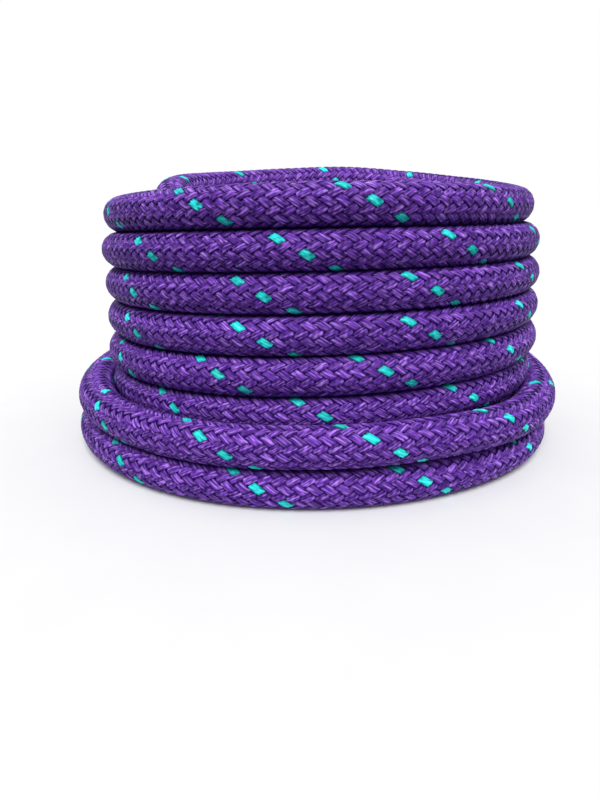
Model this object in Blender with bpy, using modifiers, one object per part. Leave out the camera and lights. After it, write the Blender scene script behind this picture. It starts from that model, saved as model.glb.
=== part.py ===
"""Dynamic climbing rope, bare, lying as a free-standing coil.

Two wide turns lie on the floor, six turns stand on them, and the last half turn crosses the top and
tucks down inside the hollow. The turns are plain solids of the coil's outer shape: a turned ring for
the wide turns and one for the stack. The two tails that aren't coiled are tubes, and each ends in the
rope's real construction: an open sheath tube, seven core strands inside it, and a heat-sealed tip.

Metres, +Z up. The origin is on the floor, at the centre of the wide turns.
"""

import math

import bpy
import numpy as np

# ---- driving dimensions ----
DIAMETER = 0.010  # rope diameter, the unit of every size given "in diameters"
GAP = 0.0003  # air between pieces that touch

# the coil, in diameters
TURN_PITCH = 0.93  # height of one turn in the stack, where the rope is slightly flattened
STACK_RADIUS = 5.82  # centre line of the top turns
STACK_SPREAD = 0.27  # how much wider the fifth turn down is than the top one
STACK_TOP = 6.25  # height of the top turn's centre
STACK_TURNS = 5  # turns of the stack that stand clear above the wide ones
LOW_TURN = (5.50, 1.75)  # radius and height of the lowest stack turn, tucked inside the wide ones
BASE_TURNS = ((6.83, 1.42), (6.71, 0.47))  # radius and height of the two wide turns, top one first
STACK_CENTRE = (0.11, 0.31)  # the stack's axis from the wide turns' axis
FLAT_HALF_WIDTH = 0.17  # the bottom of the lowest turn is pressed flat

# the two tails: (turn, radius, height), turn 0 at the front and counting counter-clockwise from above
UPPER_TAIL = (
    (7.33, 5.85, 7.33),
    (7.40, 5.88, 7.62),
    (7.47, 5.86, 7.84),
    (7.53, 5.72, 7.77),
    (7.59, 5.44, 7.60),
    (7.64, 5.15, 7.45),
    (7.69, 4.84, 7.28),
    (7.75, 4.50, 6.97),
    (7.82, 4.24, 6.36),
    (7.90, 4.18, 5.46),
    (7.98, 4.30, 4.46),
    (8.06, 4.40, 3.46),
    (8.14, 4.40, 2.46),
    (8.22, 4.38, 1.52),
    (8.30, 4.32, 0.84),
    (8.38, 4.22, 0.55),
    (8.46, 4.10, 0.52),
)
LOWER_TAIL = (
    (-1.20, 5.35, 0.52),
    (-1.10, 5.45, 0.52),
    (-1.00, 5.50, 0.52),
    (-0.90, 5.50, 0.52),
    (-0.80, 5.45, 0.52),
    (-0.70, 5.36, 0.52),
    (-0.60, 5.28, 0.52),
    (-0.52, 5.24, 0.52),
    (-0.46, 5.28, 0.52),
)

# construction at each end
SHEATH_WALL = 0.0011
CORE_STRANDS = 7  # one in the middle and the rest round it
CORE_STRAND_RADIUS = 0.0011
CORE_RING_RADIUS = 0.0025
CORE_TWIST_PITCH = 0.060  # length of one turn of the core strands round the middle one
END_LENGTH = 0.022  # stretch at each end that is modelled with its sheath and core apart
TIP_LENGTH = 0.0022  # melted tip
TIP_BEVEL = 0.0008

# fineness
RING_STEPS = 56  # facets round each ring
ARC_STEP = math.radians(36)  # angle of one facet across a turn
TUBE_RESOLUTION = 2  # bevel resolution of the tails
END_RESOLUTION = 4  # bevel resolution of the sheath ends, whose bore the core fills
CORE_RESOLUTION = 2
ROUTE_SAMPLES = 40  # samples between two points of a tail, to measure it
TUBE_SPACING = 2.0  # diameters between two points of a tube
END_POINTS = 7  # points along a sheath end
SQUARE_END = 0.001  # short last step of a tube, so that its cap is square to the line
SMOOTH_ANGLE = math.radians(40)

PURPLE = (0.098, 0.034, 0.284, 1)
PALE = (0.70, 0.68, 0.66, 1)
MELTED = (0.050, 0.018, 0.140, 1)


def clear_scene():
    for obj in list(bpy.data.objects):
        bpy.data.objects.remove(obj, do_unlink=True)


def make_collection(name):
    collection = bpy.data.collections.new(name)
    bpy.context.scene.collection.children.link(collection)
    return collection


def make_material(name, colour, roughness):
    material = bpy.data.materials.new(name)
    material.use_nodes = True
    shader = material.node_tree.nodes["Principled BSDF"]
    shader.inputs["Base Color"].default_value = colour
    shader.inputs["Roughness"].default_value = roughness
    shader.inputs["Metallic"].default_value = 0.0
    return material


def add_object(name, data, material, collection):
    obj = bpy.data.objects.new(name, data)
    data.materials.append(material)
    collection.objects.link(obj)
    return obj


# ---- turned rings ----
def arc(centre, start, end):
    """Points on a turn's round section, from one angle to another, in facets of ARC_STEP or less."""
    count = max(2, math.ceil(abs(end - start) / ARC_STEP) + 1)
    radius = 0.5
    points = []
    for k in range(count):
        angle = start + (end - start) * k / (count - 1)
        points.append((centre[0] + radius * math.cos(angle), centre[1] + radius * math.sin(angle)))
    return points


def meeting_angles(upper, lower):
    """Angles at which two overlapping round sections meet: outer and inner, seen from each centre."""
    dx = lower[0] - upper[0]
    dz = lower[1] - upper[1]
    towards = math.atan2(dz, dx)
    half = math.acos(math.hypot(dx, dz))  # both radii are half a diameter
    back = towards + math.pi
    return (towards + half, towards - half), (back - half, back + half)


def ring_profile(turns, flat_bottom):
    """Closed outline of turns that lie on each other, down the outer side and up the inner side."""
    outer = []
    inner = []
    top = math.pi / 2
    outer_start = top
    inner_start = top
    for k, centre in enumerate(turns):
        if k + 1 < len(turns):
            here, there = meeting_angles(centre, turns[k + 1])
            outer_end = here[0]
            inner_end = here[1] + 2 * math.pi
            next_outer = there[0]
            next_inner = there[1]
        else:
            flat = math.asin(FLAT_HALF_WIDTH / 0.5) if flat_bottom else 0.0
            outer_end = -math.pi / 2 + flat
            inner_end = 3 * math.pi / 2 - flat
        outer += arc(centre, outer_start, outer_end)[: None if k + 1 == len(turns) else -1]
        inner += arc(centre, inner_start, inner_end)[: None if k + 1 == len(turns) else -1]
        if k + 1 < len(turns):
            outer_start = next_outer
            inner_start = next_inner
    if not flat_bottom:
        inner = inner[:-1]
    return outer + inner[:0:-1]


def turned_ring(name, turns, centre, flat_bottom, material, collection):
    """A ring turned about the vertical through centre, from its section in diameters."""
    outline = ring_profile(turns, flat_bottom)
    points = [(r * DIAMETER, 0.0, max(z, 0.0) * DIAMETER) for r, z in outline]
    edges = [(k, (k + 1) % len(points)) for k in range(len(points))]
    mesh = bpy.data.meshes.new(name)
    mesh.from_pydata(points, edges, [])
    ring = add_object(name, mesh, material, collection)
    ring.location = (centre[0] * DIAMETER, centre[1] * DIAMETER, 0.0)
    screw = ring.modifiers.new("turn", "SCREW")
    screw.axis = "Z"
    screw.angle = 2 * math.pi
    screw.steps = RING_STEPS
    screw.render_steps = RING_STEPS
    screw.use_merge_vertices = True
    screw.merge_threshold = 0.00001
    screw.use_smooth_shade = True
    return ring


# ---- tails ----
def route(points):
    """A smooth line through (turn, radius, height) points, in metres, about the stack's axis."""
    knots = np.array(points)
    slopes = np.gradient(knots[:, 1:], knots[:, 0], axis=0)
    line = []
    for k in range(len(knots) - 1):
        step = knots[k + 1, 0] - knots[k, 0]
        for t in np.linspace(0, 1, ROUTE_SAMPLES, endpoint=False):
            value = (
                knots[k, 1:] * (2 * t**3 - 3 * t**2 + 1)
                + slopes[k] * step * (t**3 - 2 * t**2 + t)
                + knots[k + 1, 1:] * (3 * t**2 - 2 * t**3)
                + slopes[k + 1] * step * (t**3 - t**2)
            )
            line.append((knots[k, 0] + t * step, value[0], value[1]))
    line.append(tuple(knots[-1]))
    turn, radius, height = np.array(line).T
    x = STACK_CENTRE[0] + radius * np.sin(2 * np.pi * turn)
    y = STACK_CENTRE[1] - radius * np.cos(2 * np.pi * turn)
    return np.stack([x, y, height], axis=1) * DIAMETER


def lengths_along(line):
    steps = np.linalg.norm(np.diff(line, axis=0), axis=1)
    return np.concatenate([[0.0], np.cumsum(steps)])


def place(line, distances):
    """Points at these distances along the line."""
    along = lengths_along(line)
    return np.stack([np.interp(distances, along, line[:, k]) for k in range(3)], axis=1)


def tube(name, points, radius, resolution, caps, material, collection):
    curve = bpy.data.curves.new(name, "CURVE")
    curve.dimensions = "3D"
    curve.bevel_depth = radius
    curve.bevel_resolution = resolution
    curve.use_fill_caps = caps
    spline = curve.splines.new("POLY")
    spline.points.add(len(points) - 1)
    for k, point in enumerate(points):
        spline.points[k].co = (*point, 1.0)
    spline.use_smooth = True
    return add_object(name, curve, material, collection)


def core_points(line, distances, strand):
    """One core strand's points: strand 0 is in the middle and the others turn slowly round it."""
    centres = place(line, distances)
    if strand == 0:
        return centres
    ahead = place(line, distances + 0.001)
    behind = place(line, distances - 0.001)
    points = []
    for centre, tangent, distance in zip(centres, ahead - behind, distances):
        tangent = tangent / np.linalg.norm(tangent)
        side = np.cross(tangent, (0.0, 0.0, 1.0))
        side = side / np.linalg.norm(side)
        over = np.cross(side, tangent)
        angle = 2 * math.pi * (strand / (CORE_STRANDS - 1) + distance / CORE_TWIST_PITCH)
        points.append(centre + CORE_RING_RADIUS * (side * math.cos(angle) + over * math.sin(angle)))
    return np.array(points)


def rope_end(label, line, materials, collection):
    """Sheath end, core strands and sealed tip on the last stretch of a line."""
    length = lengths_along(line)[-1]
    tip_start = length - TIP_LENGTH
    end_start = length - END_LENGTH
    stretch = np.linspace(end_start + GAP, tip_start - GAP, END_POINTS)

    name = f"{label}_sheath_end"
    points = place(line, stretch)
    sheath = tube(name, points, DIAMETER / 2, END_RESOLUTION, False, materials["sheath"], collection)
    wall = sheath.modifiers.new("wall", "SOLIDIFY")
    wall.thickness = SHEATH_WALL
    wall.offset = -1.0
    wall.use_rim = True

    for strand in range(CORE_STRANDS):
        points = core_points(line, stretch, strand)
        name = f"{label}_core_strand_{strand + 1}"
        tube(name, points, CORE_STRAND_RADIUS, CORE_RESOLUTION, True, materials["core"], collection)

    start, end = place(line, np.array([tip_start, length]))
    bpy.ops.mesh.primitive_cylinder_add(vertices=20, radius=DIAMETER / 2, depth=TIP_LENGTH)
    tip = bpy.context.active_object
    tip.name = f"{label}_sealed_tip"
    tip.data.name = tip.name
    tip.data.materials.append(materials["tip"])
    tip.location = (start + end) / 2
    heading = end - start
    tip.rotation_euler = (
        0.0,
        math.acos(heading[2] / np.linalg.norm(heading)),
        math.atan2(heading[1], heading[0]),
    )
    edge = tip.modifiers.new("melted edge", "BEVEL")
    edge.width = TIP_BEVEL
    edge.segments = 3
    edge.limit_method = "ANGLE"
    for owner in list(tip.users_collection):
        owner.objects.unlink(tip)
    collection.objects.link(tip)
    tip.data.shade_smooth()
    tip.data.set_sharp_from_angle(angle=SMOOTH_ANGLE)


def tail(label, line, materials, collection):
    """A tail's tube and its end, on a line that runs from the coil to the end."""
    length = lengths_along(line)[-1] - END_LENGTH
    count = max(3, math.ceil(length / (TUBE_SPACING * DIAMETER)) + 1)
    distances = np.append(np.linspace(0.0, length - SQUARE_END, count), length)
    points = place(line, distances)
    tube(f"{label}_tail", points, DIAMETER / 2, TUBE_RESOLUTION, True, materials["sheath"], collection)
    rope_end(label, line, materials, collection)


def stack_turns():
    """Radius and height of each turn of the stack, from the top, the lowest one tucked in."""
    turns = []
    for k in range(STACK_TURNS):
        spread = STACK_SPREAD * (k / (STACK_TURNS - 1)) ** 2
        turns.append((STACK_RADIUS + spread, STACK_TOP - TURN_PITCH * k))
    turns.append(LOW_TURN)
    return turns


def main():
    clear_scene()
    collection = make_collection("climbing_rope")
    materials = {
        "sheath": make_material("sheath", PURPLE, 0.55),
        "core": make_material("core", PALE, 0.60),
        "tip": make_material("melted_tip", MELTED, 0.30),
    }
    turned_ring("coil_base", BASE_TURNS, (0.0, 0.0), True, materials["sheath"], collection)
    turned_ring("coil_stack", stack_turns(), STACK_CENTRE, False, materials["sheath"], collection)
    tail("upper", route(UPPER_TAIL), materials, collection)
    tail("lower", route(LOWER_TAIL)[::-1], materials, collection)


main()
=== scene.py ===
"""The looks of the climbing rope: its braid, strand by strand, and its ends, lights and camera."""

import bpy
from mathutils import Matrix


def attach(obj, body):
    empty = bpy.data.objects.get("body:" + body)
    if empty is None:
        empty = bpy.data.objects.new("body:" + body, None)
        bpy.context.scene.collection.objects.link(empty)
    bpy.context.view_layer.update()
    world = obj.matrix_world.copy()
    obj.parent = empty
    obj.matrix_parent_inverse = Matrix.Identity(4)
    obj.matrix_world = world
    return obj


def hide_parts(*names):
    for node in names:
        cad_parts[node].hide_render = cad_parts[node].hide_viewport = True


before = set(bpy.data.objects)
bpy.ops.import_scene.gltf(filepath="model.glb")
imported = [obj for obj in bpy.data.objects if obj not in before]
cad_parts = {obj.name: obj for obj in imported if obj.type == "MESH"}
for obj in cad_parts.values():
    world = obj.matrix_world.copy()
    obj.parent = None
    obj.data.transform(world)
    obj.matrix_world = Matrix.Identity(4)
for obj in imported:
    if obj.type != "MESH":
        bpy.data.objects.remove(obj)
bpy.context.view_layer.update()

import math

import bpy
import numpy as np
from mathutils import Vector

# ---- the rope's line, in rope diameters and in turns round the stack's axis ----
DIAMETER = 0.010  # metres
STACK_CENTRE = (0.11, 0.31)
STACK_FIRST = 2.0  # the lowest stack turn is at the front here
STACK_HEIGHT = 2.0  # and this high
TURN_PITCH = 0.924
STACK_KNOTS = 12  # points for each turn of the stack
KNOTS_BEFORE = 4  # points of it before the front of its lowest turn
TURN_BLEND = (0.3, 0.4)  # from where, and over what part, each turn changes into the next

# (turn, radius, height): turn 0 is at the front, counting counter-clockwise from above
LOWER_TAIL = (
    (-1.20, 5.35, 0.52),
    (-1.10, 5.45, 0.52),
    (-1.00, 5.50, 0.52),
    (-0.90, 5.50, 0.52),
    (-0.80, 5.45, 0.52),
    (-0.70, 5.36, 0.52),
    (-0.60, 5.28, 0.52),
    (-0.52, 5.24, 0.52),
    (-0.46, 5.28, 0.52),
)
# the two wide turns, and the climb from them into the stack
BASE = (
    (-0.40, 5.60, 0.51),
    (-0.33, 6.28, 0.49),
    (-0.25, 6.87, 0.48),
    (-0.16, 7.06, 0.48),
    (-0.08, 7.12, 0.48),
    (0.00, 6.96, 0.48),
    (0.06, 6.84, 0.48),
    (0.14, 6.78, 0.48),
    (0.25, 6.55, 0.48),
    (0.38, 6.42, 0.50),
    (0.46, 6.48, 0.66),
    (0.53, 6.60, 1.20),
    (0.60, 6.77, 1.66),
    (0.67, 6.88, 1.77),
    (0.75, 6.89, 1.57),
    (0.86, 7.06, 1.41),
    (0.94, 7.12, 1.42),
    (1.00, 7.06, 1.48),
    (1.06, 7.02, 1.52),
    (1.14, 6.94, 1.43),
    (1.25, 6.80, 1.68),
    (1.32, 6.84, 1.98),
    (1.38, 6.66, 2.15),
    (1.44, 6.40, 2.23),
    (1.50, 6.24, 2.23),
    (1.57, 6.04, 2.21),
)
# each turn of the stack from the lowest: radius, how far it sits to the right, how far it sags at
# the front left, and how far it stands out at the front
STACK = (
    (6.01, 0.07, 0.12, 0.0),
    (6.09, 0.09, 0.14, 0.0),
    (6.04, 0.09, 0.08, 0.0),
    (6.01, 0.07, 0.05, 0.0),
    (5.98, 0.01, 0.03, 0.0),
    (5.82, 0.00, 0.00, 0.16),
)
SAG_PLACE = 0.86  # where round the coil a turn sags at the front left
RIGHT_SAG_PLACE = 0.19  # and at the right
SAG_REACH = 0.22
RIGHT_SAG = 0.035  # more with each turn from the third
RIGHT_SAG_FIRST = 2
SHOULDER_PLACE = 7.28  # where the top turn is drawn in, before it turns inside
SHOULDER_REACH = 0.24
SHOULDER_IN = 0.14
# the last half turn, over the top at the back and down into the hollow
UPPER_TAIL = (
    (7.33, 5.68, 7.27),
    (7.40, 5.80, 7.60),
    (7.47, 5.86, 7.84),
    (7.53, 5.72, 7.77),
    (7.59, 5.44, 7.60),
    (7.64, 5.15, 7.45),
    (7.69, 4.84, 7.28),
    (7.75, 4.50, 6.97),
    (7.82, 4.24, 6.36),
    (7.90, 4.18, 5.46),
    (7.98, 4.30, 4.46),
    (8.06, 4.40, 3.46),
    (8.14, 4.40, 2.46),
    (8.22, 4.38, 1.52),
    (8.30, 4.32, 0.84),
    (8.38, 4.22, 0.55),
    (8.46, 4.10, 0.52),
)
# the crossings under the stack raise it at the back: how much, where it starts and how long it
# takes, in turns, for the rise, the partial fall after it, and the rest of the fall
LIFT = 0.75
LIFT_RISE = (0.23, 0.22)
LIFT_SHOULDER = (0.47, 0.15)
LIFT_SHOULDER_FALL = 0.33
LIFT_FALL = (0.66, 0.12)
SAMPLES_PER_STEP = 24
HEADING_REACH = 0.0015  # metres each way over which the line's direction is taken

# how the rope lies in each turn from the first wide one: degrees that it has rolled about its own
# line, and degrees that its braid has gained on an even pitch
ROLL = (-20, 10, -6, -20, 16, 3, 13, -12)
ADVANCE = (92, 272, 416, 494, 578, 432, 570, 720)
HOLD_AND_CHANGE = (0.2, 0.6)  # each turn's own value holds, then changes into the next one's

# ---- the braid, in rope diameters ----
CARRIERS = 12  # strands each way round
STRAND_PITCH = 3.65  # length in which a strand goes once round
FLOATS = 6  # times that a strand comes to the surface in one pitch
STEPS_PER_FLOAT = 10
CROWN_RADIUS = 0.402  # middle of the sheath
WAVE = 0.054  # how far a strand rises and dips from it
WAVE_FLATNESS = 0.15  # flattens the top of a float
CRIMP = 0.030  # a float lies at a steeper angle than the strand as a whole
BUNCHING = 0.25  # rows lie closer together on the outside of a bend
BUNCHING_ROUNDS = 4  # to undo it
OVAL = (1.02, 0.955)  # width and height of the resting rope
STRAND_HALF_WIDTH = 0.112
WIDTH_CHANGE = 0.008  # strands are narrower on the outside of a bend
STRAND_HALF_HEIGHT = 0.052
LOBE = 0.010  # height of the yarns in a strand
SQUARENESS = 0.55  # lower is a squarer section
UNDERSIDE = ((0.62, -0.72), (0.0, -0.85), (-0.62, -0.72))  # in half widths and half heights
YARN_LOBES = (0, 0, 1, -1, 1, -1, 1, 0, 0)  # over the upper face, from side to side
STRAND_LEAN = 0.87  # cosine of the angle between a strand and the rope
FAR_BELOW = -2.0  # height, in half heights, where the strand isn't
STRAND_GIRTH_MM = 5.0
TRACER = 0  # the one strand in the tracer's colour
TONE_SEEDS = {1: 100, -1: 150}  # for the strands each way round

# ---- painted shade: darkness painted into the yarn's colour in the crevices ----
EDGE = 0.010  # a float this little above the strands round it is quite dark
CLEFT = 0.052  # and it is fully lit when this much higher
SIDE_DARK = 0.38  # painted shade along each side of a strand, in half widths
CONTACT_DARK = 0.10  # light left where two turns press on each other
CONTACT_NEAR = 0.47  # distance from the next turn's middle
CONTACT_REACH = 0.20

# ---- core and ends, in rope diameters ----
CORE_RADIUS = 0.335
CORE_LOBES = 7
CORE_LOBE_HEIGHT = 0.05  # part of the core's radius
CORE_TWIST_PITCH = 6.0
CORE_STEP = 0.25
POINTS_PER_LOBE = 3
TIP_LENGTH = 0.22  # melted end past the braid
TIP_POINTS = 48
# the melted end's outline: distance past the braid, and radius
TIP_OUTLINE = (
    (-0.24, 0.400),
    (-0.20, 0.462),
    (-0.12, 0.508),
    (-0.02, 0.520),
    (0.08, 0.512),
    (0.15, 0.478),
    (0.20, 0.410),
    (0.22, 0.290),
    (0.215, 0.150),
    (0.20, 0.040),
)
# its roughness: height as a part of the radius, lumps round it, and how fast they shift along it
TIP_LUMPS = ((0.018, 5, 9), (0.014, 11, 0), (0.010, 17, -20))
UPPER_TIP_SEED = 7
LOWER_TIP_SEED = 8


def smooth_step(value):
    t = np.clip(value, 0.0, 1.0)
    return t * t * (3 - 2 * t)


def step_over(value, span):
    """Rises smoothly from 0 to 1 over a span, given as its start and its length."""
    start, length = span
    return smooth_step((value - start) / length)


def hump(offset, reach):
    """1 where there is no offset, falling smoothly to 0 at the reach."""
    return 0.5 * (1 + math.cos(math.pi * min(abs(offset) / reach, 1.0)))


def past_place(turn, place):
    """Turns past a place round the coil, from -0.5 to 0.5."""
    return (turn - place + 0.5) % 1.0 - 0.5


def lift(turn):
    """How far the stack is raised at this place round the coil."""
    place = np.mod(turn, 1.0)
    shoulder = 1 - LIFT_SHOULDER_FALL * step_over(place, LIFT_SHOULDER)
    return LIFT * step_over(place, LIFT_RISE) * shoulder * (1 - step_over(place, LIFT_FALL))


def stack_points():
    """The stack's turns from just after the climb to where the upper tail begins."""
    points = []
    last = int((UPPER_TAIL[0][0] - STACK_FIRST) * STACK_KNOTS)
    for k in range(-KNOTS_BEFORE, last):
        turn = STACK_FIRST + k / STACK_KNOTS
        level = turn - STACK_FIRST
        low = int(np.clip(math.floor(level), 0, len(STACK) - 1))
        high = min(low + 1, len(STACK) - 1)
        blend = float(step_over(level - low, TURN_BLEND)) if level > 0 else 0.0
        own, right, sag, front = np.array(STACK[low]) * (1 - blend) + np.array(STACK[high]) * blend
        around = 2 * math.pi * turn
        radius = own + right * math.sin(around) + front * max(0.0, math.cos(around)) ** 2
        radius -= SHOULDER_IN * hump(turn - SHOULDER_PLACE, SHOULDER_REACH)
        height = STACK_HEIGHT + TURN_PITCH * level + float(lift(turn))
        height -= sag * hump(past_place(turn, SAG_PLACE), SAG_REACH)
        right_sag = RIGHT_SAG * max(0.0, level - RIGHT_SAG_FIRST)
        height -= right_sag * hump(past_place(turn, RIGHT_SAG_PLACE), SAG_REACH)
        points.append((turn, radius, height))
    return points


def smooth_line(knots, samples):
    """A smooth curve through (turn, radius, height) points, as points in metres."""
    knots = np.array(knots)
    slopes = np.gradient(knots[:, 1:], knots[:, 0], axis=0)
    t = np.linspace(0, 1, samples, endpoint=False)[None, :, None]
    step = np.diff(knots[:, 0])[:, None, None]
    start, end = knots[:-1, None, 1:], knots[1:, None, 1:]
    value = (
        start * (2 * t**3 - 3 * t**2 + 1)
        + slopes[:-1, None] * step * (t**3 - 2 * t**2 + t)
        + end * (3 * t**2 - 2 * t**3)
        + slopes[1:, None] * step * (t**3 - t**2)
    ).reshape(-1, 2)
    turn = (knots[:-1, None, 0] + t[..., 0] * step[..., 0]).ravel()
    turn = np.append(turn, knots[-1, 0])
    radius = np.append(value[:, 0], knots[-1, 1])
    height = np.append(value[:, 1], knots[-1, 2])
    x = STACK_CENTRE[0] + radius * np.sin(2 * np.pi * turn)
    y = STACK_CENTRE[1] - radius * np.cos(2 * np.pi * turn)
    return np.stack([x, y, height], axis=1) * DIAMETER


class Line:
    """The rope's centre line, measured along its length."""

    def __init__(self, points):
        self.points = points
        steps = np.linalg.norm(np.diff(points, axis=0), axis=1)
        self.along = np.concatenate([[0.0], np.cumsum(steps)])
        self.length = float(self.along[-1])

    def at(self, distance):
        columns = [np.interp(distance, self.along, self.points[:, k]) for k in range(3)]
        return np.stack(columns, axis=1)

    def frames(self, distance):
        """Point, outward side and upward side at each distance."""
        centre = self.at(distance)
        inside = np.clip(distance, HEADING_REACH, self.length - HEADING_REACH)
        heading = self.at(inside + HEADING_REACH) - self.at(inside - HEADING_REACH)
        heading /= np.linalg.norm(heading, axis=1)[:, None]
        outward = centre - np.array([STACK_CENTRE[0] * DIAMETER, STACK_CENTRE[1] * DIAMETER, 0.0])
        outward[:, 2] = 0.0
        outward -= heading * np.sum(outward * heading, axis=1)[:, None]
        outward /= np.linalg.norm(outward, axis=1)[:, None]
        return centre, outward, np.cross(outward, heading)


def rope_line():
    knots = list(LOWER_TAIL) + list(BASE) + stack_points() + list(UPPER_TAIL)
    return Line(smooth_line(knots, SAMPLES_PER_STEP))


def turns_along(line, distance):
    """Turn number at each distance along the line."""
    x, y = (line.at(distance)[:, :2] / DIAMETER - STACK_CENTRE).T
    turn = np.unwrap(np.arctan2(x, -y)) / (2 * np.pi)
    return turn + LOWER_TAIL[0][0] - turn[0]


def per_turn(degrees, turn):
    """An angle, in radians, that each turn holds over its front and changes over its back."""
    place = np.clip(turn, 0, len(degrees) - 1)
    low = np.minimum(np.floor(place).astype(int), len(degrees) - 2)
    blend = step_over(place - low, HOLD_AND_CHANGE)
    values = np.radians(np.array(degrees, float))
    return values[low] * (1 - blend) + values[low + 1] * blend


# ---- meshes ----
def tube_object(name, points, rings, around):
    """A smooth tube of rings of points, capped at both ends."""
    mesh = bpy.data.meshes.new(name)
    ring = np.arange(rings - 1)[:, None] * around
    here = np.arange(around)[None, :]
    there = (here + 1) % around
    quads = np.stack([ring + here, ring + there, ring + around + there, ring + around + here], axis=-1)
    quads = quads.reshape(-1, 4)
    first = np.arange(around)[::-1]
    last = len(points) - around + np.arange(around)
    loops = np.concatenate([quads.ravel(), first, last])
    starts = np.concatenate([np.arange(len(quads)) * 4, [quads.size, quads.size + around]])
    mesh.vertices.add(len(points))
    mesh.vertices.foreach_set("co", np.ascontiguousarray(points, dtype=np.float32).ravel())
    mesh.loops.add(len(loops))
    mesh.loops.foreach_set("vertex_index", loops.astype(np.int32))
    mesh.polygons.add(len(starts))
    mesh.polygons.foreach_set("loop_start", starts.astype(np.int32))
    mesh.update(calc_edges=True)
    mesh.validate()
    mesh.polygons.foreach_set("use_smooth", [True] * len(mesh.polygons))
    obj = bpy.data.objects.new(name, mesh)
    bpy.context.scene.collection.objects.link(obj)
    return obj


def lay_yarn_map(obj, along, around):
    """UVs in millimetres: along the yarn, and round it."""
    layer = obj.data.uv_layers.new(name="yarn")
    rings = len(along) - 1
    before = np.repeat(along[:-1, None], around, axis=1)
    after = np.repeat(along[1:, None], around, axis=1)
    low = np.repeat(np.arange(around)[None, :] / around, rings, axis=0) * STRAND_GIRTH_MM
    high = np.repeat(np.arange(1, around + 1)[None, :] / around, rings, axis=0) * STRAND_GIRTH_MM
    u = np.stack([before, before, after, after], axis=-1)
    v = np.stack([low, high, high, low], axis=-1)
    uv = np.zeros((len(layer.data), 2))  # the two caps stay at nought
    uv[: u.size] = np.stack([u, v], axis=-1).reshape(-1, 2)
    layer.data.foreach_set("uv", uv.astype(np.float32).ravel())


def give_values(obj, name, values):
    """A named value for each vertex, which a material reads."""
    attribute = obj.data.attributes.new(name, "FLOAT", "POINT")
    attribute.data.foreach_set("value", values.ravel().astype(np.float32))


def strand_section():
    """A flattened strand of three yarns, as (across, up) in half widths and half heights."""
    angles = np.radians(np.linspace(-90, 90, len(YARN_LOBES)))
    lobes = np.array(YARN_LOBES) * LOBE / STRAND_HALF_HEIGHT
    heights = [0.0] + [math.cos(a) ** SQUARENESS for a in angles[1:-1]] + [0.0]
    top = [(math.sin(a), height + lobe) for a, height, lobe in zip(angles, heights, lobes)]
    return np.array(top + list(UNDERSIDE))


def strand_rise(own, way):
    """Height of a strand in the twill, from -1 under to 1 over, by its own angle round the rope."""
    wave = np.cos(FLOATS * own) - WAVE_FLATNESS * np.cos(3 * FLOATS * own)
    return way * wave / (1 - WAVE_FLATNESS)


def section_height(offset):
    """Height of a strand's upper face over its middle, at an offset in half widths."""
    inside = np.clip(1 - offset**2, 0.0, 1.0) ** (0.5 * SQUARENESS)
    return np.where(np.abs(offset) < 1, inside, FAR_BELOW) * STRAND_HALF_HEIGHT


def first_angle(way):
    """Where the first strand of a way starts round the rope: the two ways interlock."""
    return 0.0 if way > 0 else np.pi / CARRIERS


def standing(points, centre, outward, up, even, way, turn):
    """How far each vertex stands over the strands beside and across it, kept as painted shade: 0 in a
    cleft, 1 on a float.
    """
    arm = (points - centre[:, None]) / DIAMETER
    x = np.einsum("ijk,ik->ij", arm, outward) / OVAL[0]
    y = -np.einsum("ijk,ik->ij", arm, up) / OVAL[1]
    reach = np.hypot(x, y)
    angle = np.arctan2(y, x)
    placed = angle.copy()
    for _ in range(BUNCHING_ROUNDS):  # turns the bunched angle back into the even one
        placed = angle + BUNCHING * np.sin(placed)
    flat = placed - per_turn(ROLL, turn)[:, None]
    spread = 2 * np.pi / CARRIERS
    half_width = STRAND_HALF_WIDTH - WIDTH_CHANGE * np.cos(placed)
    stretch = (1 - BUNCHING * np.cos(placed)) * CROWN_RADIUS * STRAND_LEAN
    tallest = np.full(reach.shape, -1.0)  # below any strand
    for other_way in (1, -1):
        first = other_way * even[:, None] + first_angle(other_way)
        number = (flat - first) / spread
        nearest = np.round(number)
        for step in (-1, 0, 1):
            if other_way == way and step == 0:
                continue  # the strand itself
            other = nearest + step
            offset = (number - other) * spread * stretch / half_width
            rise = strand_rise(first + other * spread, other_way)
            tallest = np.maximum(tallest, CROWN_RADIUS + WAVE * rise + section_height(offset))
    return smooth_step((reach - tallest - EDGE) / CLEFT)


def contact_light(points, line, distance, turn):
    """Painted shade: darkness where the rope is pressed on the turn above or below it."""
    middle = line.at(distance)
    light = np.ones(points.shape[:2])
    for step in (-1, 1):
        there = np.stack([np.interp(turn + step, turn, middle[:, k]) for k in range(3)], axis=1)
        valid = (turn + step > turn[0]) & (turn + step < turn[-1])
        gap = np.linalg.norm(points - there[:, None], axis=2) / DIAMETER
        shade = CONTACT_DARK + (1 - CONTACT_DARK) * step_over(gap, (CONTACT_NEAR, CONTACT_REACH))
        light *= np.where(valid[:, None], shade, 1.0)
    return light


def float_tones(own, way, index):
    """A chance tone from 0 to 1 for each float of a strand, at each place along it."""
    number = np.floor(np.abs(FLOATS * own / (2 * np.pi)) + 0.5).astype(int)
    tones = np.random.default_rng(TONE_SEEDS[way] + index).random(number.max() + 1)
    return tones[number]


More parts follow.
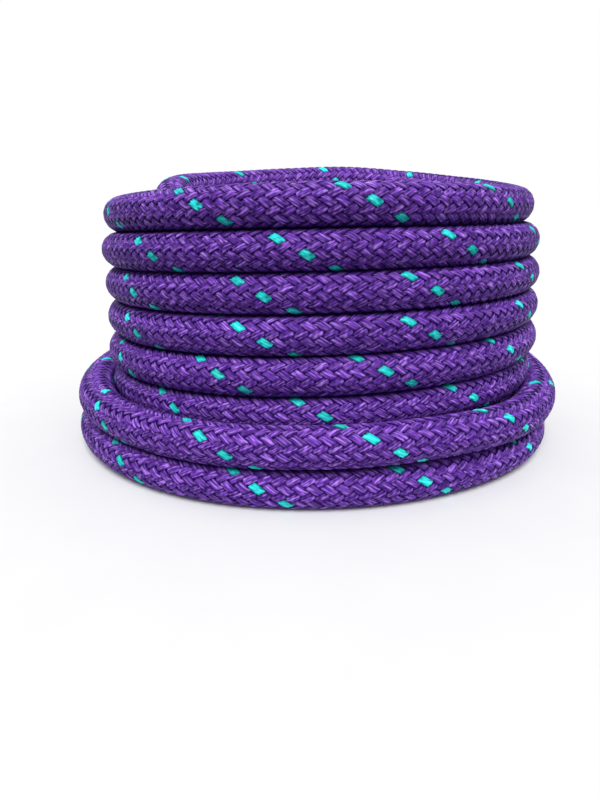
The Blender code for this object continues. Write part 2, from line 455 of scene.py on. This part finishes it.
def braid_strand(name, line, way, index):
    """One strand of the braid: way is 1 or -1, for the two ways round."""
    start = TIP_LENGTH * DIAMETER
    end = line.length - start
    spacing = STRAND_PITCH / FLOATS / STEPS_PER_FLOAT * DIAMETER
    distance = np.linspace(start, end, int((end - start) / spacing) + 1)
    centre, outward, up = line.frames(distance)
    turn = turns_along(line, distance)

    # the braid's angle, this strand's, with its crimp and the rope's roll, and as bunched in the bend
    even = 2 * np.pi * distance / (STRAND_PITCH * DIAMETER) + per_turn(ADVANCE, turn)
    own = way * even + index * 2 * np.pi / CARRIERS + first_angle(way)
    placed = own + CRIMP * np.sin(FLOATS * own) + per_turn(ROLL, turn)
    angle = placed - BUNCHING * np.sin(placed)
    radius = (CROWN_RADIUS + WAVE * strand_rise(own, way)) * DIAMETER

    across = (np.cos(angle) * OVAL[0])[:, None] * outward - (np.sin(angle) * OVAL[1])[:, None] * up
    middle = centre + radius[:, None] * across
    along = np.gradient(middle, axis=0)
    along /= np.linalg.norm(along, axis=1)[:, None]
    face = np.cos(angle)[:, None] * outward - np.sin(angle)[:, None] * up
    side = np.cross(along, face)
    side /= np.linalg.norm(side, axis=1)[:, None]
    face = np.cross(side, along)

    section = strand_section()
    half_width = (STRAND_HALF_WIDTH - WIDTH_CHANGE * np.cos(angle)) * DIAMETER
    half_height = STRAND_HALF_HEIGHT * DIAMETER
    points = (
        middle[:, None]
        - section[None, :, 0, None] * half_width[:, None, None] * side[:, None]
        + section[None, :, 1, None] * half_height * face[:, None]
    )
    obj = tube_object(name, points.reshape(-1, 3), len(distance), len(section))
    steps = np.linalg.norm(np.diff(middle, axis=0), axis=1)
    lay_yarn_map(obj, np.concatenate([[0.0], np.cumsum(steps)]) * 1000, len(section))

    # painted shade, kept with each vertex and multiplied into the yarn's colour: darkness in the
    # clefts between floats, where two turns press together, and along each strand's sides
    light = standing(points, centre, outward, up, even, way, turn)
    light *= contact_light(points, line, distance, turn)
    light *= smooth_step((1 - np.abs(section[:, 0])) / SIDE_DARK)[None, :]
    give_values(obj, "painted_shade", light)
    give_values(obj, "tone", np.repeat(float_tones(own, way, index), len(section)))
    return obj


def core_piece(line):
    """The core inside the braid: seven twisted strands that show as lobes."""
    margin = TIP_LENGTH * DIAMETER / 2
    count = int(line.length / (CORE_STEP * DIAMETER))
    distance = np.linspace(margin, line.length - margin, count)
    centre, outward, up = line.frames(distance)
    around = POINTS_PER_LOBE * CORE_LOBES
    angle = np.linspace(0, 2 * np.pi, around, endpoint=False)
    radius = CORE_RADIUS * DIAMETER * (1 + CORE_LOBE_HEIGHT * np.cos(CORE_LOBES * angle))
    turned = angle[None, :] + 2 * np.pi * distance[:, None] / (CORE_TWIST_PITCH * DIAMETER)
    points = (
        centre[:, None]
        + (radius * np.cos(turned))[..., None] * outward[:, None] * OVAL[0]
        + (radius * np.sin(turned))[..., None] * up[:, None] * OVAL[1]
    )
    return tube_object("rope_core", points.reshape(-1, 3), len(distance), around)


def melted_tip(name, line, at_end):
    """The melted end: sheath and core run together into a rough, slightly swollen plug."""
    edge = TIP_LENGTH * DIAMETER
    shuffle = np.random.default_rng(UPPER_TIP_SEED if at_end else LOWER_TIP_SEED)
    phases = shuffle.random(len(TIP_LUMPS)) * 2 * np.pi
    angle = np.linspace(0, 2 * np.pi, TIP_POINTS, endpoint=False)
    rings = []
    for step, radius in TIP_OUTLINE:
        distance = line.length - edge + step * DIAMETER if at_end else edge - step * DIAMETER
        distance = np.array([min(max(distance, 0.0), line.length)])
        centre, outward, up = line.frames(distance)
        rough = 1.0
        for (height, lumps, shift), phase in zip(TIP_LUMPS, phases):
            rough = rough + height * np.sin(lumps * angle + phase + shift * step)
        ring = radius * DIAMETER * rough
        points = (
            centre
            + (ring * np.cos(angle))[:, None] * outward * OVAL[0]
            + (ring * np.sin(angle))[:, None] * up * OVAL[1]
        )
        rings.append(points if at_end else points[::-1])  # so that its faces look outwards
    return tube_object(name, np.concatenate(rings), len(rings), TIP_POINTS)


# ---- materials ----
# yarn colours: painted shade between floats, in the dark streaks, the body, the bright streaks, which
# are partly painted highlight, the sheen
PURPLE = (
    (0.008, 0.0005, 0.058, 1),
    (0.078, 0.020, 0.245, 1),
    (0.210, 0.072, 0.490, 1),
    (0.450, 0.225, 0.810, 1),
    (0.62, 0.38, 1.0, 1),
)
TEAL = (
    (0.001, 0.070, 0.075, 1),
    (0.014, 0.620, 0.630, 1),
    (0.036, 0.800, 0.815, 1),
    (0.090, 0.900, 0.900, 1),
    (0.45, 1.0, 0.97, 1),
)
YARN_SLANT = math.radians(9)
# changes per millimetre along and across a strand
STREAKS = (0.30, 2.3, 1.0)
FIBRES = (0.9, 7.5, 1.0)
WEAR = (0.05, 0.12, 1.0)
EVEN = (1.0, 1.0, 1.0)  # for noise that has no direction
CORE_DARK = (0.56, 0.53, 0.50, 1)
CORE_LIGHT = (0.78, 0.76, 0.73, 1)
MELTED_DARK = (0.022, 0.008, 0.060, 1)
MELTED_LIGHT = (0.070, 0.026, 0.190, 1)
FLOOR_DARK = (0.675, 0.675, 0.68, 1)
FLOOR_LIGHT = (0.69, 0.69, 0.695, 1)
MIX_SLOTS = (0, 6, 7)  # the mix node's factor and its two colours, among all its sockets
MIX_RESULT = 2


def grey(level):
    return (level, level, level, 1)


class Nodes:
    """Adds and links shader nodes."""

    def __init__(self, name):
        self.material = bpy.data.materials.new(name)
        self.material.use_nodes = True
        self.tree = self.material.node_tree
        self.shader = self.tree.nodes["Principled BSDF"]

    def add(self, kind, **values):
        node = self.tree.nodes.new(kind)
        for key, value in values.items():
            setattr(node, key, value)
        return node

    def link(self, source, target):
        self.tree.links.new(source, target)

    def set(self, socket, value):
        """A linked or a constant value for one of the shader's own sockets."""
        if isinstance(value, bpy.types.NodeSocket):
            self.link(value, self.shader.inputs[socket])
        else:
            self.shader.inputs[socket].default_value = value

    def noise(self, coordinates, scale, stretch, detail, rotation=0.0):
        mapping = self.add("ShaderNodeMapping")
        mapping.inputs["Scale"].default_value = stretch
        mapping.inputs["Rotation"].default_value = (0.0, 0.0, rotation)
        self.link(coordinates, mapping.inputs["Vector"])
        noise = self.add("ShaderNodeTexNoise")
        noise.inputs["Scale"].default_value = scale
        noise.inputs["Detail"].default_value = detail
        self.link(mapping.outputs["Vector"], noise.inputs["Vector"])
        return noise.outputs["Fac"]

    def mix(self, factor, first, second, blend="MIX"):
        node = self.add("ShaderNodeMix", data_type="RGBA", blend_type=blend)
        for slot, value in zip(MIX_SLOTS, (factor, first, second)):
            if isinstance(value, bpy.types.NodeSocket):
                self.link(value, node.inputs[slot])
            else:
                node.inputs[slot].default_value = value
        return node.outputs[MIX_RESULT]

    def vary(self, colour, driver, low, high, darkest, brightest):
        """A colour made darker and brighter as a value goes from low to high."""
        level = self.mix(self.ramp(driver, low, high), grey(darkest), grey(brightest))
        return self.mix(1.0, colour, level, "MULTIPLY")

    def ramp(self, value, low, high, first=0.0, last=1.0):
        node = self.add("ShaderNodeMapRange")
        node.inputs["From Min"].default_value = low
        node.inputs["From Max"].default_value = high
        node.inputs["To Min"].default_value = first
        node.inputs["To Max"].default_value = last
        self.link(value, node.inputs["Value"])
        return node.outputs["Result"]

    def add_values(self, first, second, weight):
        node = self.add("ShaderNodeMath", operation="MULTIPLY_ADD")
        self.link(second, node.inputs[0])
        node.inputs[1].default_value = weight
        self.link(first, node.inputs[2])
        return node.outputs[0]

    def bump(self, height, distance, strength):
        node = self.add("ShaderNodeBump")
        node.inputs["Distance"].default_value = distance
        node.inputs["Strength"].default_value = strength
        self.link(height, node.inputs["Height"])
        self.set("Normal", node.outputs["Normal"])


def yarn_material(name, painted_crevice_shade, deep, body, bright, sheen):
    """Multifilament yarn: long slanting fibres with bright streaks that are partly painted highlight,
    satin light on each float, and painted shade between floats.
    """
    nodes = Nodes(name)
    uv = nodes.add("ShaderNodeUVMap", uv_map="yarn").outputs["UV"]
    streaks = nodes.noise(uv, scale=1.0, stretch=STREAKS, detail=2.0, rotation=YARN_SLANT)
    fibres = nodes.noise(uv, scale=1.0, stretch=FIBRES, detail=3.0, rotation=0.5 * YARN_SLANT)
    wear = nodes.noise(uv, scale=1.0, stretch=WEAR, detail=2.0)
    tone = nodes.add("ShaderNodeAttribute", attribute_name="tone").outputs["Fac"]
    painted_shade = nodes.add("ShaderNodeAttribute", attribute_name="painted_shade").outputs["Fac"]

    colour = nodes.mix(nodes.ramp(streaks, 0.40, 0.57), deep, body)
    # the bright streaks are partly the yarn's streaky texture and partly painted highlight on the
    # filaments
    colour = nodes.mix(nodes.ramp(streaks, 0.53, 0.68), colour, bright)
    colour = nodes.vary(colour, fibres, low=0.30, high=0.70, darkest=0.62, brightest=1.30)
    colour = nodes.vary(colour, tone, low=0.0, high=1.0, darkest=0.74, brightest=1.16)
    colour = nodes.vary(colour, wear, low=0.35, high=0.75, darkest=0.92, brightest=1.05)
    # painted shade: the yarn's colour goes to the dark crevice colour in clefts, where turns press
    # together and along each strand's sides
    nodes.set("Base Color", nodes.mix(painted_shade, painted_crevice_shade, colour))
    nodes.set("Roughness", nodes.ramp(streaks, 0.0, 1.0, first=0.50, last=0.34))
    nodes.set("Specular IOR Level", 0.12)
    nodes.set("Specular Tint", sheen)
    nodes.set("Sheen Weight", 0.02)
    nodes.set("Sheen Roughness", 0.35)
    nodes.set("Sheen Tint", sheen)
    nodes.bump(nodes.add_values(streaks, fibres, weight=0.35), distance=0.00022, strength=0.9)
    return nodes.material


def core_material():
    """Undyed twisted yarn."""
    nodes = Nodes("core_yarn")
    place = nodes.add("ShaderNodeTexCoord").outputs["Object"]
    fibres = nodes.noise(place, scale=900.0, stretch=(1.0, 1.0, 3.0), detail=3.0)
    shade = nodes.ramp(fibres, 0.3, 0.7)
    nodes.set("Base Color", nodes.mix(shade, CORE_DARK, CORE_LIGHT))
    nodes.set("Roughness", 0.6)
    nodes.set("Sheen Weight", 0.2)
    nodes.bump(fibres, distance=0.0001, strength=0.6)
    return nodes.material


def melted_material():
    """Yarn melted by a hot blade: dark, glossy and blistered."""
    nodes = Nodes("melted_end")
    place = nodes.add("ShaderNodeTexCoord").outputs["Object"]
    blisters = nodes.noise(place, scale=700.0, stretch=EVEN, detail=3.0)
    shade = nodes.ramp(blisters, 0.35, 0.70)
    nodes.set("Base Color", nodes.mix(shade, MELTED_DARK, MELTED_LIGHT))
    nodes.set("Roughness", 0.28)
    nodes.bump(blisters, distance=0.0003, strength=0.7)
    return nodes.material


def floor_material():
    """Matt studio floor, with a grain too faint to notice."""
    nodes = Nodes("studio_floor")
    place = nodes.add("ShaderNodeTexCoord").outputs["Object"]
    grain = nodes.noise(place, scale=60.0, stretch=EVEN, detail=2.0)
    shade = nodes.ramp(grain, 0.2, 0.8)
    nodes.set("Base Color", nodes.mix(shade, FLOOR_DARK, FLOOR_LIGHT))
    nodes.set("Roughness", 0.9)
    nodes.set("Specular IOR Level", 0.1)
    return nodes.material


# ---- camera, lights and floor ----
CAMERA_BACK = 19.51  # from the stack's axis, in rope diameters
CAMERA_LEFT = 0.555
CAMERA_HEIGHT = 6.29
CAMERA_PITCH = math.radians(16.63)  # looking down
CAMERA_LENS = 27.0  # millimetres, on a frame 36 mm high
FRAME_SIZE = 36.0
KEY_FROM = (0.02, -0.60, 0.80)
KEY_STRENGTH = 3.1
KEY_SOFTNESS = math.radians(32)
SKY = 0.74  # brightness of the soft light overhead
GROUND = 0.02  # and from below the horizon
HORIZON = 0.04  # half width of the change between them
WHITE = (1.0, 1.0, 1.0, 1.0)
FLOOR_RADIUS = 3.0
NEAR_FLOOR = 0.125  # the part of the floor that lights the lowest turns
NEAR_FLOOR_HEIGHT = 0.00001
FLOOR_CORNERS = 96


def add_camera():
    data = bpy.data.cameras.new("camera")
    data.lens = CAMERA_LENS
    data.sensor_width = FRAME_SIZE
    data.clip_start = 0.01
    camera = bpy.data.objects.new("camera", data)
    bpy.context.scene.collection.objects.link(camera)
    camera.location = (
        (STACK_CENTRE[0] - CAMERA_LEFT) * DIAMETER,
        (STACK_CENTRE[1] - CAMERA_BACK) * DIAMETER,
        CAMERA_HEIGHT * DIAMETER,
    )
    camera.rotation_euler = (math.radians(90) - CAMERA_PITCH, 0.0, 0.0)
    bpy.context.scene.camera = camera


def add_key_light():
    data = bpy.data.lights.new("key", "SUN")
    data.energy = KEY_STRENGTH
    data.angle = KEY_SOFTNESS
    light = bpy.data.objects.new("key", data)
    bpy.context.scene.collection.objects.link(light)
    light.rotation_euler = Vector(KEY_FROM).to_track_quat("Z", "Y").to_euler()


def light_studio():
    """Soft light from overhead, a large key light above the front, and a white surround."""
    world = bpy.data.worlds.new("studio")
    bpy.context.scene.world = world
    world.use_nodes = True
    tree = world.node_tree
    background = tree.nodes["Background"]
    background.inputs["Color"].default_value = WHITE
    place = tree.nodes.new("ShaderNodeTexCoord")
    split = tree.nodes.new("ShaderNodeSeparateXYZ")
    tree.links.new(place.outputs["Generated"], split.inputs["Vector"])
    level = tree.nodes.new("ShaderNodeMapRange")
    level.inputs["From Min"].default_value = -HORIZON
    level.inputs["From Max"].default_value = HORIZON
    level.inputs["To Min"].default_value = GROUND
    level.inputs["To Max"].default_value = SKY
    tree.links.new(split.outputs["Z"], level.inputs["Value"])
    tree.links.new(level.outputs["Result"], background.inputs["Strength"])

    surround = tree.nodes.new("ShaderNodeBackground")
    surround.inputs["Color"].default_value = WHITE
    seen = tree.nodes.new("ShaderNodeLightPath")
    pick = tree.nodes.new("ShaderNodeMixShader")
    tree.links.new(seen.outputs["Is Camera Ray"], pick.inputs["Fac"])
    tree.links.new(background.outputs["Background"], pick.inputs[1])
    tree.links.new(surround.outputs["Background"], pick.inputs[2])
    tree.links.new(pick.outputs["Shader"], tree.nodes["World Output"].inputs["Surface"])

    add_key_light()
    bpy.context.scene.view_settings.view_transform = "Standard"


def floor_disc(name, radius, height, material):
    bpy.ops.mesh.primitive_circle_add(
        vertices=FLOOR_CORNERS, radius=radius, fill_type="NGON", location=(0, 0, height)
    )
    disc = bpy.context.active_object
    disc.name = name
    disc.data.materials.append(material)
    return disc


def lay_floor():
    material = floor_material()
    floor = floor_disc("floor", FLOOR_RADIUS, 0.0, material)
    floor.visible_diffuse = False  # far off, it doesn't light the rope from below
    floor_disc("near_floor", NEAR_FLOOR, NEAR_FLOOR_HEIGHT, material)


# ---- the rope ----
def fit_piece(obj, material, slot, *replaced):
    """Gives a piece its material, and says what it rides on and which CAD nodes it replaces."""
    obj.data.materials.append(material)
    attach(obj, "root")
    if replaced:
        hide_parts(*replaced)


def build_sheath(line):
    """The 24 strands of the braid."""
    purple = yarn_material("purple_yarn", *PURPLE)
    teal = yarn_material("teal_yarn", *TEAL)
    strands = []
    for way, label in ((1, "right"), (-1, "left")):
        for index in range(CARRIERS):
            strand = braid_strand(f"sheath_strand_{label}_{index + 1:02d}", line, way, index)
            if way > 0 and index == TRACER:
                fit_piece(strand, teal, "tracer")
            else:
                fit_piece(strand, purple, "sheath")
            strands.append(strand)
    return strands


def build_rope():
    line = rope_line()
    strands = build_sheath(line)
    core = core_piece(line)
    core_nodes = [f"{end}_core_strand_{k}" for end in ("upper", "lower") for k in range(1, 8)]
    fit_piece(core, core_material(), "core", *core_nodes)
    melted = melted_material()
    for label, at_end in (("lower", False), ("upper", True)):
        tip = melted_tip(f"{label}_melted_end", line, at_end)
        fit_piece(tip, melted, "sealed_tip", f"{label}_sealed_tip")

    ends = ("upper_tail", "lower_tail", "upper_sheath_end", "lower_sheath_end")
    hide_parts("coil_base", "coil_stack", *ends)
    path = line.at(np.linspace(0.0, line.length, int(line.length / DIAMETER)))


add_camera()
build_rope()
light_studio()
lay_floor()
